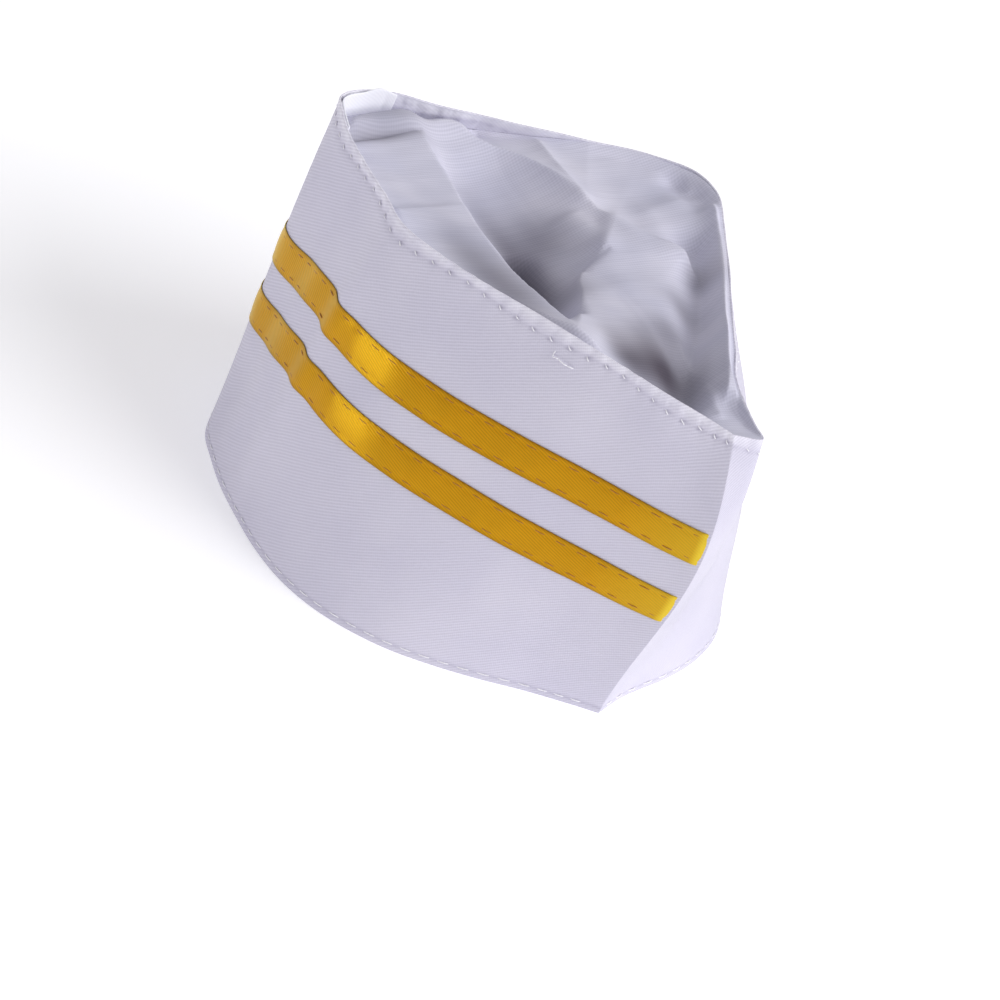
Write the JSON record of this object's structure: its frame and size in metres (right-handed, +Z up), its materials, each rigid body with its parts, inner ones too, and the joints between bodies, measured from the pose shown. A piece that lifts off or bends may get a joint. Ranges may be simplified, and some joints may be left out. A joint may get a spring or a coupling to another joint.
{
  "type": "waiter cap",
  "caption": "White boat-shaped waiter cap: a tall pressed cloth band with golden ribbons along one side and a thin folded crown set in below the rim.",
  "frame": {"origin": "middle of the cap's whole box, at the level of the base edge it stands on", "axes": "+Z up from the base edge to the rim, +X from the front crease to the rear crease, -Y towards the side with the ribbons"},
  "size_m": [0.2089, 0.1746, 0.1279],
  "materials": {
    "white_twill": "matt twill",
    "white_voile": "matt thin plain weave",
    "golden_ribbon": "satin"
  },
  "bodies": {
    "root": {"band": "white_twill", "upper_ribbon": "golden_ribbon", "lower_ribbon": "golden_ribbon", "crown": "white_voile"}
  },
  "joints": []
}
